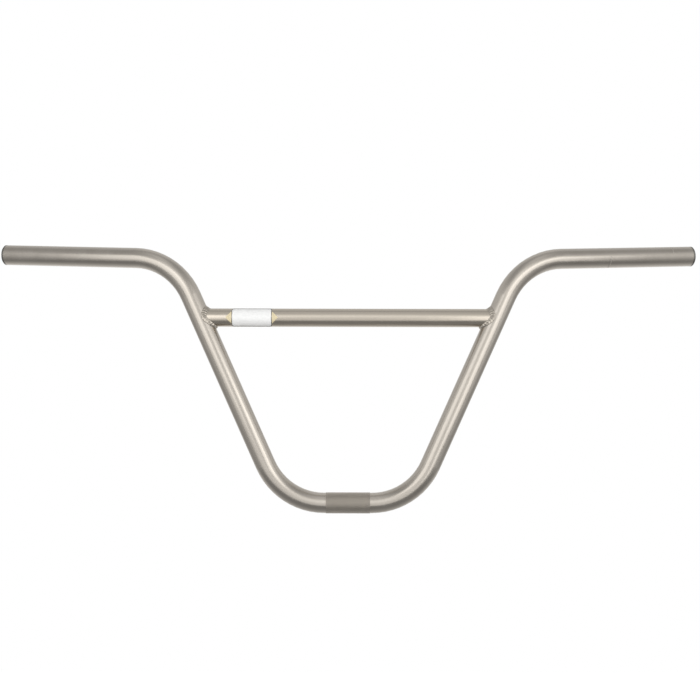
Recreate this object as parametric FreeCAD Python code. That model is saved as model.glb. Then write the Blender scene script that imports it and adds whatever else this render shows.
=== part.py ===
import FreeCAD, Part
import math
import os

os.makedirs("parts", exist_ok=True)

# A bicycle handlebar with a tall rise: one bent main tube, a straight crossbar and two weld beads.
# Sizes are in millimetres and angles in degrees.
# The clamp lies along X, Z is up and the grips sweep back towards +Y.

# Course of the main tube's centre line
bar_width = 772.0
rise = 273.0
upright_slope = 66.0
backsweep = 11.0
upsweep = 2.0
bend_radius = 70.0
clamp_straight = 52.0

# Main tube, seven eighths of an inch across
tube_diameter = 22.2
tube_wall = 1.2
end_outer_bevel = 0.8
end_inner_bevel = 0.2

# Knurled stretch that the stem holds
knurl_length = 48.0
knurl_height = 0.2

# Crossbar between the uprights
crossbar_height = 202.0
crossbar_diameter = 20.0
crossbar_wall = 0.9

# Weld beads around the crossbar's ends
weld_leg_above = 3.6
weld_leg_below = 2.2
weld_hollow_above = 0.7
weld_crest = 0.3
weld_trough = 0.1
weld_ripples = 24
weld_toe_depth = 0.2
weld_root_depth = 0.5

# Values that follow from the sizes above
V = FreeCAD.Vector
tube_radius = tube_diameter / 2
bore_radius = tube_radius - tube_wall
knurl_radius = tube_radius + knurl_height
crossbar_radius = crossbar_diameter / 2
crossbar_bore_radius = crossbar_radius - crossbar_wall

slope = math.radians(upright_slope)
back = math.radians(backsweep)
lift = math.radians(upsweep)
along_clamp = V(1, 0, 0)
along_upright = V(math.cos(slope), 0, math.sin(slope))
along_grip = V(math.cos(lift) * math.cos(back), math.cos(lift) * math.sin(back), math.sin(lift))

# The lower corner is where the clamp's line meets the upright's line.
# The upper corner is where the upright's line meets the grip's line.
lower_cut = bend_radius * math.tan(slope / 2)
lower_corner = V(clamp_straight / 2 + lower_cut, 0, 0)
run_left = bar_width / 2 - lower_corner.x - rise / math.tan(slope)
grip_line = run_left / (along_grip.x - along_grip.z / math.tan(slope))
grip_end = V(bar_width / 2, along_grip.y * grip_line, rise)
upper_corner = grip_end - along_grip * grip_line
upper_turn = along_upright.getAngle(along_grip)
upper_cut = bend_radius * math.tan(upper_turn / 2)
upright_start = lower_corner + along_upright * lower_cut
upright_length = upper_corner.distanceToPoint(lower_corner) - lower_cut - upper_cut
upper_start = upper_corner - along_upright * upper_cut
grip_start = upper_corner + along_grip * upper_cut
grip_length = grip_line - upper_cut


def rod(start, direction, length, radius):
    """Straight round rod."""
    return Part.makeCylinder(radius, length, start, direction)


def bend(start, entering, leaving, radius):
    """Round rod that turns from one direction to another at the bend radius."""
    axis = entering.cross(leaving)
    axis.normalize()
    centre = start + axis.cross(entering) * bend_radius
    disc = Part.Face(Part.Wire(Part.makeCircle(radius, start, entering)))
    return disc.revolve(centre, axis, math.degrees(entering.getAngle(leaving)))


def mirrored(shape):
    """The same shape on the other side of the bar's middle plane."""
    return shape.mirror(V(0, 0, 0), along_clamp)


def bent_rod(radius, past_end):
    """Solid rod that follows the whole centre line, running on past both ends."""
    half = [
        bend(V(clamp_straight / 2, 0, 0), along_clamp, along_upright, radius),
        rod(upright_start, along_upright, upright_length, radius),
        bend(upper_start, along_upright, along_grip, radius),
        rod(grip_start, along_grip, grip_length + past_end, radius),
    ]
    middle = rod(V(-clamp_straight / 2, 0, 0), along_clamp, clamp_straight, radius)
    return middle.multiFuse(half + [mirrored(piece) for piece in half])


def end_rim(shape, radius):
    """The round edges of this radius at the two open ends."""
    far_left = V(-grip_end.x, grip_end.y, grip_end.z)
    rims = []
    for edge in shape.Edges:
        if not isinstance(edge.Curve, Part.Circle) or abs(edge.Curve.Radius - radius) > 1e-6:
            continue
        centre = edge.Curve.Center
        if min(centre.distanceToPoint(grip_end), centre.distanceToPoint(far_left)) < 1e-6:
            rims.append(edge)
    return rims


def main_tube():
    """Hollow main tube with the raised knurl in the middle and bevelled edges at its ends."""
    knurl = rod(V(-knurl_length / 2, 0, 0), along_clamp, knurl_length, knurl_radius)
    solid = bent_rod(tube_radius, 0).fuse(knurl).cut(bent_rod(bore_radius, 1))
    solid = solid.removeSplitter()
    solid = solid.makeChamfer(end_outer_bevel, end_rim(solid, tube_radius))
    return solid.makeChamfer(end_inner_bevel, end_rim(solid, bore_radius))


# Both uprights as plain solid rods, to cope the crossbar and to trim the welds
right_upright = rod(upright_start, along_upright, upright_length, tube_radius)
left_upright = mirrored(right_upright)

# Where the right upright's centre line passes the crossbar's height
crossing = lower_corner + along_upright * (crossbar_height / along_upright.z)


def crossbar():
    """Hollow crossbar with both ends coped to the uprights."""
    start = V(-crossing.x, 0, crossbar_height)
    outside = rod(start, along_clamp, 2 * crossing.x, crossbar_radius)
    inside = rod(start, along_clamp, 2 * crossing.x, crossbar_bore_radius)
    return outside.cut(inside).cut(right_upright).cut(left_upright)


def onto_rod(point, on_axis, direction, radius):
    """The point at this radius from a rod's axis that is nearest to another point."""
    foot = on_axis + direction * (point - on_axis).dot(direction)
    out = point - foot
    out.normalize()
    return foot + out * radius


def facing(direction, other):
    """The direction or its opposite, whichever points the same way as the other."""
    return direction if direction.dot(other) > 0 else direction * -1


def weld_section(turn, crown):
    """Cross-section of the right weld at one turn around the crossbar's axis."""
    side = crossbar_radius * math.cos(turn)
    up = crossbar_radius * math.sin(turn)
    reach = math.sqrt(tube_radius ** 2 - side ** 2)
    root = crossing + V((up * along_upright.x - reach) / along_upright.z, side, up)
    foot = crossing + along_upright * (root - crossing).dot(along_upright)
    bar_normal = V(0, math.cos(turn), math.sin(turn))
    upright_normal = (root - foot) * (1 / tube_radius)
    outward = bar_normal + upright_normal
    outward.normalize()
    course = bar_normal.cross(upright_normal)
    course.normalize()
    # Each toe is one weld leg from the root, a little under the surface of its tube.
    # The open corner above the crossbar takes a longer leg and a more hollow face than the one below.
    above = (1 + math.sin(turn)) / 2
    leg = weld_leg_above * above + weld_leg_below * (1 - above)
    along_bar = facing(course.cross(bar_normal), upright_normal)
    up_upright = facing(course.cross(upright_normal), bar_normal)
    bar_toe = onto_rod(root + along_bar * leg, crossing, along_clamp, crossbar_radius - weld_toe_depth)
    upright_toe = onto_rod(root + up_upright * leg, crossing, along_upright, tube_radius - weld_toe_depth)
    bottom = root - outward * weld_root_depth
    points = [bottom, bar_toe]
    for share in (0.3, 0.7):
        swell = weld_toe_depth + (crown - weld_hollow_above * above ** 2) * 4 * share * (1 - share)
        points.append(bar_toe * (1 - share) + upright_toe * share + outward * swell)
    return Part.makePolygon(points + [upright_toe, bottom])


def right_weld():
    """Rippled bead laid along the corner where the crossbar meets the right upright."""
    sections = []
    for step in range(2 * weld_ripples):
        crown = weld_crest if step % 2 == 0 else weld_trough
        sections.append(weld_section(math.pi * step / weld_ripples, crown))
    bead = Part.makeLoft(sections, True, True, True)
    start = V(-crossing.x, 0, crossbar_height)
    return bead.cut(right_upright).cut(rod(start, along_clamp, 2 * crossing.x, crossbar_radius))


bead = right_weld()
nodes = {
    "main_tube": main_tube(),
    "crossbar": crossbar(),
    "right_weld": bead,
    "left_weld": mirrored(bead),
}
for name, shape in nodes.items():
    solid = shape if shape.ShapeType == "Solid" else shape.Solids[0]
    solid.exportStep("parts/" + name + ".step")
    print(name, solid.isValid(), len(shape.Solids), len(solid.Faces), round(solid.Volume, 1))
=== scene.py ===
import math

import bpy
from mathutils import Matrix, Vector


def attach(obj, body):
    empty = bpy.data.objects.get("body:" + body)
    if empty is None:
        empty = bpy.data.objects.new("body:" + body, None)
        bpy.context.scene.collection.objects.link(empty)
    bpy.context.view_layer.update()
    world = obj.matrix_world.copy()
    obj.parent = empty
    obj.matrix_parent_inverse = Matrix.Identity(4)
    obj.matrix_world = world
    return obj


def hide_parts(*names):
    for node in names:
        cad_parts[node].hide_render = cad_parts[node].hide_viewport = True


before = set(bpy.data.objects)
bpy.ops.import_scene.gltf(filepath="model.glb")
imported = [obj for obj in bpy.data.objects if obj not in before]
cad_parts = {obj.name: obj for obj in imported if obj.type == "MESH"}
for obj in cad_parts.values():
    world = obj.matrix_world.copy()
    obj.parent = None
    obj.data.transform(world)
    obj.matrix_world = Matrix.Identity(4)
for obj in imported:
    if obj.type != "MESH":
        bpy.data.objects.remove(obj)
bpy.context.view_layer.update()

# Looks of a bicycle handlebar with a tall rise: its steel, fine surface detail, light and camera.
# Lengths are in metres. Z is up, the grips sweep back towards +Y and the camera looks along +Y.

# Sizes of the bar, the same as in the solid model
BAR_HALF = 0.386
RISE = 0.273
SLOPE = math.radians(66.0)
BACKSWEEP = math.radians(11.0)
UPSWEEP = math.radians(2.0)
BEND_RADIUS = 0.070
CLAMP_STRAIGHT = 0.052
TUBE_RADIUS = 0.0111
END_BEVEL = 0.0008
KNURL_RADIUS = 0.0113
KNURL_HALF = 0.024
CROSSBAR_RADIUS = 0.010
CROSSBAR_HEIGHT = 0.202
WELD_LEG_ABOVE = 0.0036
WELD_LEG_BELOW = 0.0022
WELD_HOLLOW_ABOVE = 0.0007
WELD_TOE_DEPTH = 0.0002

# Diamond points of the knurl, measured from the solid's plain band
KNURL_STARTS = 72
KNURL_CREST = 0.00010
KNURL_VALLEY = 0.00001

# Ripples of the weld beads. Each climbs over a share of its length, and its middle runs ahead of its toes.
RIPPLES = 28
RIPPLE_HEIGHT = 0.00045
RIPPLE_CLIMB = 0.6
RIPPLE_LEAD = 0.45
WELD_ROOT_DEPTH = 0.0004
WELD_SECTIONS = 448
WELD_STEPS = 14

# Label on the crossbar's front: a dark edge, a white field on it and a gold point at each end
LABEL_X = -0.1048
LABEL_HALF_LENGTH = 0.0216
LABEL_HALF_HEIGHT = 0.0135
LABEL_CORNER = 0.0030
FIELD_HALF_LENGTH = 0.0211
FIELD_HALF_HEIGHT = 0.0118
FIELD_CORNER = 0.0026
POINT_HALF_LENGTH = 0.0032
POINT_HALF_HEIGHT = 0.0070
POINT_GAP = 0.0004
LABEL_LIFT = 0.00004
POINT_LIFT = 0.00005
FIELD_LIFT = 0.00007
LABEL_LEAST_HEIGHT = 0.00001
LABEL_COLUMNS = 64
LABEL_ROWS = 24

# Trim marks on the right grip, and a dark band at both ends for the bare cut edges and painted shade along
# their rims
MARK_WIDTH = 0.0004
MARK_STEPS = 24
END_EDGE_REACH = 0.0024
END_EDGE_STEPS = 128
GRIP_LIFT = 0.00002

# Directions of the right half and places on it, which follow from the sizes
CLAMP = Vector((1, 0, 0))
UPRIGHT = Vector((math.cos(SLOPE), 0, math.sin(SLOPE)))
GRIP_FLAT = math.cos(UPSWEEP)
GRIP = Vector((GRIP_FLAT * math.cos(BACKSWEEP), GRIP_FLAT * math.sin(BACKSWEEP), math.sin(UPSWEEP)))
LOWER_CORNER = CLAMP_STRAIGHT / 2 + BEND_RADIUS * math.tan(SLOPE / 2)
RUN_LEFT = BAR_HALF - LOWER_CORNER - RISE / math.tan(SLOPE)
GRIP_LINE = RUN_LEFT / (GRIP.x - GRIP.z / math.tan(SLOPE))
GRIP_END = Vector((BAR_HALF, GRIP.y * GRIP_LINE, RISE))
CROSSING = Vector((LOWER_CORNER + CROSSBAR_HEIGHT / math.tan(SLOPE), 0, CROSSBAR_HEIGHT))


def mesh_object(name, points, faces, material, smooth=True):
    """A mesh object that rides with the bar."""
    mesh = bpy.data.meshes.new(name)
    mesh.from_pydata([tuple(p) for p in points], [], faces)
    mesh.update()
    if smooth:
        mesh.shade_smooth()
    piece = bpy.data.objects.new(name, mesh)
    bpy.context.scene.collection.objects.link(piece)
    mesh.materials.append(material)
    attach(piece, "root")
    return piece


def grid_faces(rows, columns, wrap_rows=False, wrap_columns=False):
    """Quads of a grid of points, closed round where asked."""
    faces = []
    for i in range(rows if wrap_rows else rows - 1):
        for j in range(columns if wrap_columns else columns - 1):
            next_row = (i + 1) % rows * columns
            next_column = (j + 1) % columns
            row = i * columns
            faces.append((row + j, row + next_column, next_row + next_column, next_row + j))
    return faces


# Materials

# The noise lies mostly between these two values.
NOISE_LOW = 0.3
NOISE_HIGH = 0.7


def new_material(name):
    """A material, its node tree and its shader."""
    made = bpy.data.materials.new(name)
    made.use_nodes = True
    return made, made.node_tree, made.node_tree.nodes["Principled BSDF"]


def noise(tree, scale, detail, roughness=0.5, stretch=(1, 1, 1)):
    """Noise over the object's own coordinates."""
    place = tree.nodes.new("ShaderNodeTexCoord")
    mapping = tree.nodes.new("ShaderNodeMapping")
    mapping.inputs["Scale"].default_value = stretch
    made = tree.nodes.new("ShaderNodeTexNoise")
    made.inputs["Scale"].default_value = scale
    made.inputs["Detail"].default_value = detail
    made.inputs["Roughness"].default_value = roughness
    tree.links.new(place.outputs["Object"], mapping.inputs["Vector"])
    tree.links.new(mapping.outputs["Vector"], made.inputs["Vector"])
    return made.outputs["Fac"]


def ranged(tree, value, low, high):
    """Noise stretched between two limits."""
    made = tree.nodes.new("ShaderNodeMapRange")
    made.inputs["From Min"].default_value = NOISE_LOW
    made.inputs["From Max"].default_value = NOISE_HIGH
    made.inputs["To Min"].default_value = low
    made.inputs["To Max"].default_value = high
    tree.links.new(value, made.inputs["Value"])
    return made.outputs["Result"]


def two_tone(tree, value, dark, light):
    """Colour that follows noise from a dark tone to a light one."""
    ramp = tree.nodes.new("ShaderNodeValToRGB")
    ramp.color_ramp.elements[0].position = NOISE_LOW
    ramp.color_ramp.elements[1].position = NOISE_HIGH
    ramp.color_ramp.elements[0].color = (*dark, 1)
    ramp.color_ramp.elements[1].color = (*light, 1)
    tree.links.new(value, ramp.inputs["Fac"])
    return ramp.outputs["Color"]


def bump(tree, shader, value, strength, distance):
    """Fine relief on a surface."""
    made = tree.nodes.new("ShaderNodeBump")
    made.inputs["Strength"].default_value = strength
    made.inputs["Distance"].default_value = distance
    tree.links.new(value, made.inputs["Height"])
    tree.links.new(made.outputs["Normal"], shader.inputs["Normal"])


def steel(name, dark, light, smoothest, roughest, coat=0.0, stretch=(1, 1, 1)):
    """Raw steel, a little clouded and with a fine grain, under a clear coat where asked."""
    made, tree, shader = new_material(name)
    cloud = noise(tree, scale=70.0, detail=3.0, roughness=0.55, stretch=stretch)
    grain = noise(tree, scale=900.0, detail=2.0, stretch=stretch)
    tree.links.new(two_tone(tree, cloud, dark, light), shader.inputs["Base Color"])
    tree.links.new(ranged(tree, cloud, smoothest, roughest), shader.inputs["Roughness"])
    shader.inputs["Metallic"].default_value = 1.0
    shader.inputs["Coat Weight"].default_value = coat
    shader.inputs["Coat Roughness"].default_value = 0.18
    bump(tree, shader, grain, strength=0.02, distance=0.0002)
    return made


def pointed_steel(name, dark, light, smoothest, roughest):
    """Steel with many fine points, whose tips give it a soft warm sheen."""
    made = steel(name, dark, light, smoothest, roughest)
    shader = made.node_tree.nodes["Principled BSDF"]
    shader.inputs["Sheen Weight"].default_value = 1.0
    shader.inputs["Sheen Roughness"].default_value = 0.5
    shader.inputs["Sheen Tint"].default_value = (1.0, 0.93, 0.84, 1)
    return made


def paint(name, colour, rough):
    """Printed film, a little uneven."""
    unevenness = 0.07
    made, tree, shader = new_material(name)
    cloud = noise(tree, scale=400.0, detail=2.0)
    darker = tuple(c * (1 - unevenness) for c in colour)
    tree.links.new(two_tone(tree, cloud, darker, colour), shader.inputs["Base Color"])
    shader.inputs["Roughness"].default_value = rough
    return made


# Clear coat on the tubes and beads, and the crossbar's clouds drawn out along it
COAT = 0.10
ALONG_X = (0.25, 1, 1)

# Steels have a dark and a light tone and a least and a most roughness. Films have a colour and a roughness.
tube_steel = steel("tube_steel", (0.594, 0.546, 0.484), (0.620, 0.573, 0.511), 0.22, 0.27, COAT)
bar_steel = steel("bar_steel", (0.616, 0.556, 0.475), (0.642, 0.583, 0.500), 0.22, 0.27, COAT, ALONG_X)
weld_steel = steel("weld_steel", (0.51, 0.463, 0.40), (0.60, 0.55, 0.48), 0.20, 0.30, COAT)
knurl_steel = pointed_steel("knurl_steel", (0.36, 0.326, 0.283), (0.40, 0.363, 0.316), 0.42, 0.50)
# Darker steel for the bands at the open ends: the bare cut edge, and painted shade along the rim
edge_and_shade_steel = steel("edge_and_shade_steel", (0.21, 0.20, 0.182), (0.28, 0.267, 0.244), 0.35, 0.45)
film_white = paint("film_white", (0.98, 0.98, 0.97), 0.35)
film_dark = paint("film_dark", (0.05, 0.048, 0.045), 0.4)
film_gold = paint("film_gold", (0.80, 0.69, 0.45), 0.35)
mark_dark = paint("mark_dark", (0.16, 0.148, 0.132), 0.5)
mark_pale = paint("mark_pale", (0.46, 0.43, 0.385), 0.5)

NODE_MATERIALS = {
    "main_tube": tube_steel,
    "crossbar": bar_steel,
    "left_weld": weld_steel,
    "right_weld": weld_steel,
}
for node, material in NODE_MATERIALS.items():
    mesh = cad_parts[node].data
    for index in range(len(mesh.materials)):
        mesh.materials[index] = material


# Diamond knurl around the clamp stretch

def knurl():
    """Rows of small pyramids, left by grooves that cross at right angles."""
    around = 2 * KNURL_STARTS
    pitch = 2 * math.pi * KNURL_RADIUS / around
    along = round(2 * KNURL_HALF / pitch)
    points = []
    for i in range(along + 1):
        x = KNURL_HALF * (2 * i / along - 1)
        for j in range(around):
            turn = 2 * math.pi * j / around
            at_crest = (i + j) % 2 and 0 < i < along
            radius = KNURL_RADIUS + (KNURL_CREST if at_crest else KNURL_VALLEY)
            points.append((x, radius * math.cos(turn), radius * math.sin(turn)))
    # Each square between the points is folded along its groove.
    faces = []
    for a, b, c, d in grid_faces(along + 1, around, wrap_columns=True):
        if (a // around + a % around) % 2:
            faces += [(a, b, d), (b, c, d)]
        else:
            faces += [(a, b, c), (a, c, d)]
    piece = mesh_object("knurl", points, faces, knurl_steel, smooth=False)


knurl()


# Weld beads with overlapping ripples

def onto_rod(point, on_axis, direction, radius):
    """The point at this radius from an axis that is nearest to another point."""
    foot = on_axis + direction * (point - on_axis).dot(direction)
    return foot + (point - foot).normalized() * radius


def facing(direction, other):
    """The direction or its opposite, whichever points the same way as the other."""
    return direction if direction.dot(other) > 0 else -direction


def ripple_at(turn, hump):
    """Height of the ripples from 0 to 1. Each climbs slowly and drops steeply onto the next."""
    phase = RIPPLES * turn / (2 * math.pi) + RIPPLE_LEAD * hump
    climb = phase - math.floor(phase)
    if climb < RIPPLE_CLIMB:
        return climb / RIPPLE_CLIMB
    return (1 - climb) / (1 - RIPPLE_CLIMB)


def bead_section(turn):
    """One cross-section of the right bead: its face from toe to toe, and its root."""
    side = CROSSBAR_RADIUS * math.cos(turn)
    up = CROSSBAR_RADIUS * math.sin(turn)
    reach = math.sqrt(TUBE_RADIUS ** 2 - side ** 2)
    root = CROSSING + Vector(((up * UPRIGHT.x - reach) / UPRIGHT.z, side, up))
    foot = CROSSING + UPRIGHT * (root - CROSSING).dot(UPRIGHT)
    bar_normal = Vector((0, math.cos(turn), math.sin(turn)))
    upright_normal = (root - foot) / TUBE_RADIUS
    outward = (bar_normal + upright_normal).normalized()
    course = bar_normal.cross(upright_normal).normalized()
    # The open corner above the crossbar takes a longer leg and a more hollow face than the one below.
    above = (1 + math.sin(turn)) / 2
    leg = WELD_LEG_ABOVE * above + WELD_LEG_BELOW * (1 - above)
    hollow = WELD_HOLLOW_ABOVE * above ** 2
    bar_toe = root + facing(course.cross(bar_normal), upright_normal) * leg
    upright_toe = root + facing(course.cross(upright_normal), bar_normal) * leg
    bar_toe = onto_rod(bar_toe, CROSSING, CLAMP, CROSSBAR_RADIUS - WELD_TOE_DEPTH)
    upright_toe = onto_rod(upright_toe, CROSSING, UPRIGHT, TUBE_RADIUS - WELD_TOE_DEPTH)
    points = []
    for k in range(WELD_STEPS + 1):
        share = k / WELD_STEPS
        hump = 4 * share * (1 - share)
        swell = WELD_TOE_DEPTH + hump * (RIPPLE_HEIGHT * ripple_at(turn, hump) - hollow)
        points.append(bar_toe * (1 - share) + upright_toe * share + outward * swell)
    points.append(root - outward * WELD_ROOT_DEPTH)
    return points


def weld(name, sign):
    """Bead around one end of the crossbar, on the right for a sign of 1 and on the left for -1."""
    points = []
    for i in range(WELD_SECTIONS):
        # The two beads run opposite ways round, so that the faces of both look outward.
        for p in bead_section(-sign * 2 * math.pi * i / WELD_SECTIONS):
            points.append((sign * p.x, p.y, p.z))
    faces = grid_faces(WELD_SECTIONS, WELD_STEPS + 2, wrap_rows=True, wrap_columns=True)
    piece = mesh_object(name + "_bead", points, faces, weld_steel)
    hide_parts(name)


weld("right_weld", 1)
weld("left_weld", -1)


# Printed label on the crossbar

def label(name, middle, half_length, height_at, lift, material):
    """A patch wrapped on the crossbar's front, with its half height given along its length."""
    radius = CROSSBAR_RADIUS + lift
    points = []
    for i in range(LABEL_COLUMNS + 1):
        x = half_length * math.sin(math.pi / 2 * (2 * i / LABEL_COLUMNS - 1))
        half_height = max(height_at(x), LABEL_LEAST_HEIGHT)
        for j in range(LABEL_ROWS + 1):
            turn = half_height * (1 - 2 * j / LABEL_ROWS) / CROSSBAR_RADIUS
            z = CROSSBAR_HEIGHT + radius * math.sin(turn)
            points.append((middle + x, -radius * math.cos(turn), z))
    piece = mesh_object(name, points, grid_faces(LABEL_COLUMNS + 1, LABEL_ROWS + 1), material)


def rounded(half_length, half_height, corner):
    """Half height of a rectangle with rounded corners."""
    def height_at(x):
        into = max(0.0, abs(x) - (half_length - corner))
        return half_height - corner + math.sqrt(max(corner ** 2 - into ** 2, 0.0))
    return height_at


def pointed(half_length, half_height, side):
    """Half height of a wedge, whose point is on the right for a side of 1 and on the left for -1."""
    def height_at(x):
        return half_height * (1 - side * x / half_length) / 2
    return height_at


def label_point(name, side):
    """Gold point beside one end of the label."""
    middle = LABEL_X + side * (LABEL_HALF_LENGTH + POINT_GAP + POINT_HALF_LENGTH)
    outline = pointed(POINT_HALF_LENGTH, POINT_HALF_HEIGHT, side)
    label(name, middle, POINT_HALF_LENGTH, outline, POINT_LIFT, film_gold)


label_outline = rounded(LABEL_HALF_LENGTH, LABEL_HALF_HEIGHT, LABEL_CORNER)
field_outline = rounded(FIELD_HALF_LENGTH, FIELD_HALF_HEIGHT, FIELD_CORNER)
label("label_edge", LABEL_X, LABEL_HALF_LENGTH, label_outline, LABEL_LIFT, film_dark)
label("label_field", LABEL_X, FIELD_HALF_LENGTH, field_outline, FIELD_LIFT, film_white)
label_point("label_point_left", -1)
label_point("label_point_right", 1)


# Trim marks on the right grip, and dark bands at both ends: bare cut edges with painted shade along their
# rims

def grip_loop(sign, from_end, radius, turns):
    """Points round one grip at a distance from its end: the right for a sign of 1, the left for -1."""
    across = GRIP.cross(Vector((0, 0, 1))).normalized()
    up = across.cross(GRIP).normalized()
    centre = GRIP_END - GRIP * from_end
    points = []
    for turn in turns:
        p = centre + (across * math.cos(turn) + up * math.sin(turn)) * radius
        points.append((sign * p.x, p.y, p.z))
    return points


def trim_mark(name, from_end, low, high, material):
    """Short thin line round part of the right grip, between two angles in degrees, where it may be cut."""
    turns = [math.radians(low + (high - low) * j / MARK_STEPS) for j in range(MARK_STEPS + 1)]
    points = []
    for place in (from_end - MARK_WIDTH / 2, from_end + MARK_WIDTH / 2):
        points += grip_loop(1, place, TUBE_RADIUS + GRIP_LIFT, turns)
    piece = mesh_object(name, points, grid_faces(2, MARK_STEPS + 1), material)


trim_mark("trim_mark_inner", from_end=0.1025, low=-75, high=-5, material=mark_dark)
trim_mark("trim_mark_inner_pale", from_end=0.1010, low=-75, high=10, material=mark_pale)
trim_mark("trim_mark_outer", from_end=0.0265, low=15, high=75, material=mark_pale)


def end_edge(name, sign):
    """Dark band round one open end, over the bevel and a little way along the tube: the bare cut edge, with
    painted shade along the rim.
    """
    # The two edges run opposite ways round, so that the faces of both look outward.
    turns = [-sign * 2 * math.pi * j / END_EDGE_STEPS for j in range(END_EDGE_STEPS)]
    points = grip_loop(sign, END_EDGE_REACH, TUBE_RADIUS + GRIP_LIFT, turns)
    points += grip_loop(sign, END_BEVEL, TUBE_RADIUS + GRIP_LIFT, turns)
    points += grip_loop(sign, -GRIP_LIFT / 2, TUBE_RADIUS - END_BEVEL + GRIP_LIFT, turns)
    faces = grid_faces(3, END_EDGE_STEPS, wrap_columns=True)
    piece = mesh_object(name, points, faces, edge_and_shade_steel, smooth=False)


end_edge("right_end_edge", 1)
end_edge("left_end_edge", -1)


# Floor and light

# Floor, and where along it reflections begin to see it pale and see it palest
FLOOR_SIZE = 1.8
FLOOR_HEIGHT = -0.45
FLOOR_PALE_FROM = -0.35
FLOOR_PALEST_FROM = 0.80
FLOOR_PALE_SHARE = 0.55

# Even light from all round
BASE_LIGHT = 0.29

# Soft light from far off: turn to the right of the camera, height in degrees, narrowness and strength
SOFT_LIGHT = (
    (0, 6, 18, 0.30),
    (0, 25, 14, 0.70),
    (0, 65, 20, 0.38),
    (0, -22, 14, 0.47),
    (-90, 18, 6, 0.32),
    (90, 18, 6, 0.33),
    (-62, 2, 14, 0.46),
    (62, 2, 14, 0.82),
    (-50, 28, 20, 0.12),
    (50, 28, 20, 0.25),
    (-125, 35, 10, 0.17),
    (125, 35, 10, 0.20),
    (180, 68, 16, 0.29),
)

# White backdrop as the bar reflects it, in the same terms, with a share in place of the strength
BACKDROP = (
    (180, 5, 4, 0.71),
    (180, 50, 5, 0.21),
    (180, -35, 5, 0.79),
)

# Lamps that the steel mirrors: name, place, aim, width, height and power
LAMP_Y = -0.75
LAMPS = (
    ("lamp_left", (-0.47, LAMP_Y, 0.30), (-0.1, 0, 0.18), 0.60, 0.62, 0.97),
    ("lamp_right", (0.46, LAMP_Y, 0.15), (0.1, 0, 0.15), 0.52, 0.66, 1.02),
    ("lamp_right_high", (0.58, LAMP_Y, 0.48), (0.1, 0, 0.15), 0.45, 0.35, 0.19),
    ("lamp_left_low", (-0.55, LAMP_Y, -0.14), (-0.1, 0, 0.1), 0.50, 0.28, 0.17),
)

# Lamp for matt surfaces alone, in the same terms, so that the label's white comes out white
FILL_LAMP = ("lamp_fill", (0, -1.5, 0.1), (0, 0, 0.1), 0.80, 1.70, 6.0)


def combined(tree, operation, one, two):
    """Two values put together by one step of arithmetic."""
    made = tree.nodes.new("ShaderNodeMath")
    made.operation = operation
    tree.links.new(one, made.inputs[0])
    tree.links.new(two, made.inputs[1])
    return made.outputs[0]


def summed(tree, values):
    """All the values added up."""
    total = values[0]
    for value in values[1:]:
        total = combined(tree, "ADD", total, value)
    return total


def white_share(tree, share):
    """All of the white for the camera, and a share of it for reflections and for what shines through."""
    path = tree.nodes.new("ShaderNodeLightPath")
    mirrored = combined(tree, "MAXIMUM", path.outputs["Is Glossy Ray"], path.outputs["Is Transmission Ray"])
    seen = combined(tree, "MULTIPLY", mirrored, share)
    return combined(tree, "MAXIMUM", path.outputs["Is Camera Ray"], seen)


def mixed(tree, share, one, two):
    """The first shader, with a share of the second in its place."""
    made = tree.nodes.new("ShaderNodeMixShader")
    tree.links.new(share, made.inputs["Fac"])
    tree.links.new(one, made.inputs[1])
    tree.links.new(two, made.inputs[2])
    return made.outputs[0]


def lit_surface(tree, grey, glow):
    """Matt grey shader with a glow of its own."""
    matt = tree.nodes.new("ShaderNodeBsdfDiffuse")
    matt.inputs["Color"].default_value = (grey, grey, grey, 1)
    light = tree.nodes.new("ShaderNodeEmission")
    light.inputs["Strength"].default_value = glow
    both = tree.nodes.new("ShaderNodeAddShader")
    tree.links.new(matt.outputs[0], both.inputs[0])
    tree.links.new(light.outputs[0], both.inputs[1])
    return both.outputs[0]


def towards_back(tree):
    """Share of the pale floor that reflections see, which grows from the front to the back."""
    place = tree.nodes.new("ShaderNodeTexCoord")
    split = tree.nodes.new("ShaderNodeSeparateXYZ")
    tree.links.new(place.outputs["Object"], split.inputs["Vector"])
    ramp = tree.nodes.new("ShaderNodeMapRange")
    ramp.interpolation_type = "SMOOTHSTEP"
    ramp.inputs["From Min"].default_value = FLOOR_PALE_FROM
    ramp.inputs["From Max"].default_value = FLOOR_PALEST_FROM
    ramp.inputs["To Min"].default_value = 0.0
    ramp.inputs["To Max"].default_value = FLOOR_PALE_SHARE
    tree.links.new(split.outputs["Y"], ramp.inputs["Value"])
    return ramp.outputs["Result"]


def stage():
    """Floor below the bar, pale to the camera. Reflections see it dim in front and paler behind."""
    bpy.ops.mesh.primitive_plane_add(size=FLOOR_SIZE, location=(0, 0, FLOOR_HEIGHT))
    floor = bpy.context.object
    floor.name = "floor"
    made = bpy.data.materials.new("floor_pale")
    made.use_nodes = True
    tree = made.node_tree
    tree.nodes.clear()
    dim = lit_surface(tree, grey=0.10, glow=0.16)
    pale = lit_surface(tree, grey=0.9, glow=0.62)
    out = tree.nodes.new("ShaderNodeOutputMaterial")
    seen = mixed(tree, white_share(tree, towards_back(tree)), dim, pale)
    tree.links.new(seen, out.inputs["Surface"])
    floor.data.materials.append(made)


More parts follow.
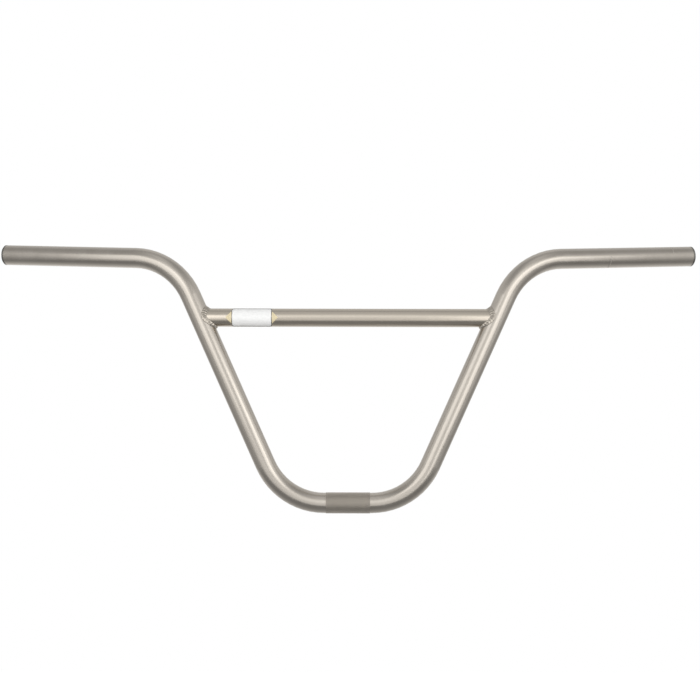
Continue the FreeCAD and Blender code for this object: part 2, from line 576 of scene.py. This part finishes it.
def lobe(tree, direction, turn, height, narrowness, strength):
    """Light that falls off smoothly round one direction."""
    turn = math.radians(turn)
    height = math.radians(height)
    flat = math.cos(height)
    dot = tree.nodes.new("ShaderNodeVectorMath")
    dot.operation = "DOT_PRODUCT"
    dot.inputs[1].default_value = (math.sin(turn) * flat, -math.cos(turn) * flat, math.sin(height))
    tree.links.new(direction, dot.inputs[0])
    value = dot.outputs["Value"]
    for operation, amount in (("MAXIMUM", 0.0), ("POWER", narrowness), ("MULTIPLY", strength)):
        made = tree.nodes.new("ShaderNodeMath")
        made.operation = operation
        made.inputs[1].default_value = amount
        tree.links.new(value, made.inputs[0])
        value = made.outputs[0]
    return value


def studio():
    """Soft light all round, and plain white to the camera."""
    world = bpy.data.worlds.new("studio")
    bpy.context.scene.world = world
    world.use_nodes = True
    tree = world.node_tree
    tree.nodes.clear()
    place = tree.nodes.new("ShaderNodeTexCoord")
    direction = place.outputs["Generated"]
    base = tree.nodes.new("ShaderNodeValue")
    base.outputs[0].default_value = BASE_LIGHT
    strength = summed(tree, [base.outputs[0]] + [lobe(tree, direction, *light) for light in SOFT_LIGHT])
    share = summed(tree, [lobe(tree, direction, *part) for part in BACKDROP])
    soft = tree.nodes.new("ShaderNodeBackground")
    soft.inputs["Color"].default_value = (1, 1, 1, 1)
    tree.links.new(strength, soft.inputs["Strength"])
    white = tree.nodes.new("ShaderNodeBackground")
    white.inputs["Color"].default_value = (1, 1, 1, 1)
    white.inputs["Strength"].default_value = 1.0
    out = tree.nodes.new("ShaderNodeOutputWorld")
    seen = mixed(tree, white_share(tree, share), soft.outputs[0], white.outputs[0])
    tree.links.new(seen, out.inputs["Surface"])


def lamp(name, place, aim, wide, tall, power):
    """Soft lamp that points at a place."""
    data = bpy.data.lights.new(name, "AREA")
    data.shape = "RECTANGLE"
    data.size = wide
    data.size_y = tall
    data.energy = power
    made = bpy.data.objects.new(name, data)
    bpy.context.scene.collection.objects.link(made)
    made.location = place
    made.rotation_mode = "QUATERNION"
    made.rotation_quaternion = (Vector(aim) - Vector(place)).to_track_quat("-Z", "Y")
    return made


stage()
studio()
for settings in LAMPS:
    lamp(*settings)
lamp(*FILL_LAMP).visible_glossy = False


# Camera

CAMERA_PLACE = (0.0019, -1.2, 0.1669)
CAMERA_ROLL = math.radians(0.12)
SENSOR_WIDTH = 36.0
FRAME_PIXELS = 700.0
FOCAL_PIXELS = 1099.0


def camera():
    """Camera in front of the bar, level with it and turned a little about its own axis."""
    data = bpy.data.cameras.new("camera")
    data.sensor_width = SENSOR_WIDTH
    data.lens = SENSOR_WIDTH * FOCAL_PIXELS / FRAME_PIXELS
    made = bpy.data.objects.new("camera", data)
    bpy.context.scene.collection.objects.link(made)
    right = Vector((math.cos(CAMERA_ROLL), 0, math.sin(CAMERA_ROLL)))
    up = Vector((-math.sin(CAMERA_ROLL), 0, math.cos(CAMERA_ROLL)))
    towards_camera = Vector((0, -1, 0))
    made.rotation_mode = "QUATERNION"
    made.rotation_quaternion = Matrix((right, up, towards_camera)).transposed().to_quaternion()
    made.location = CAMERA_PLACE
    bpy.context.scene.camera = made


camera()
bpy.context.scene.view_settings.view_transform = "Standard"
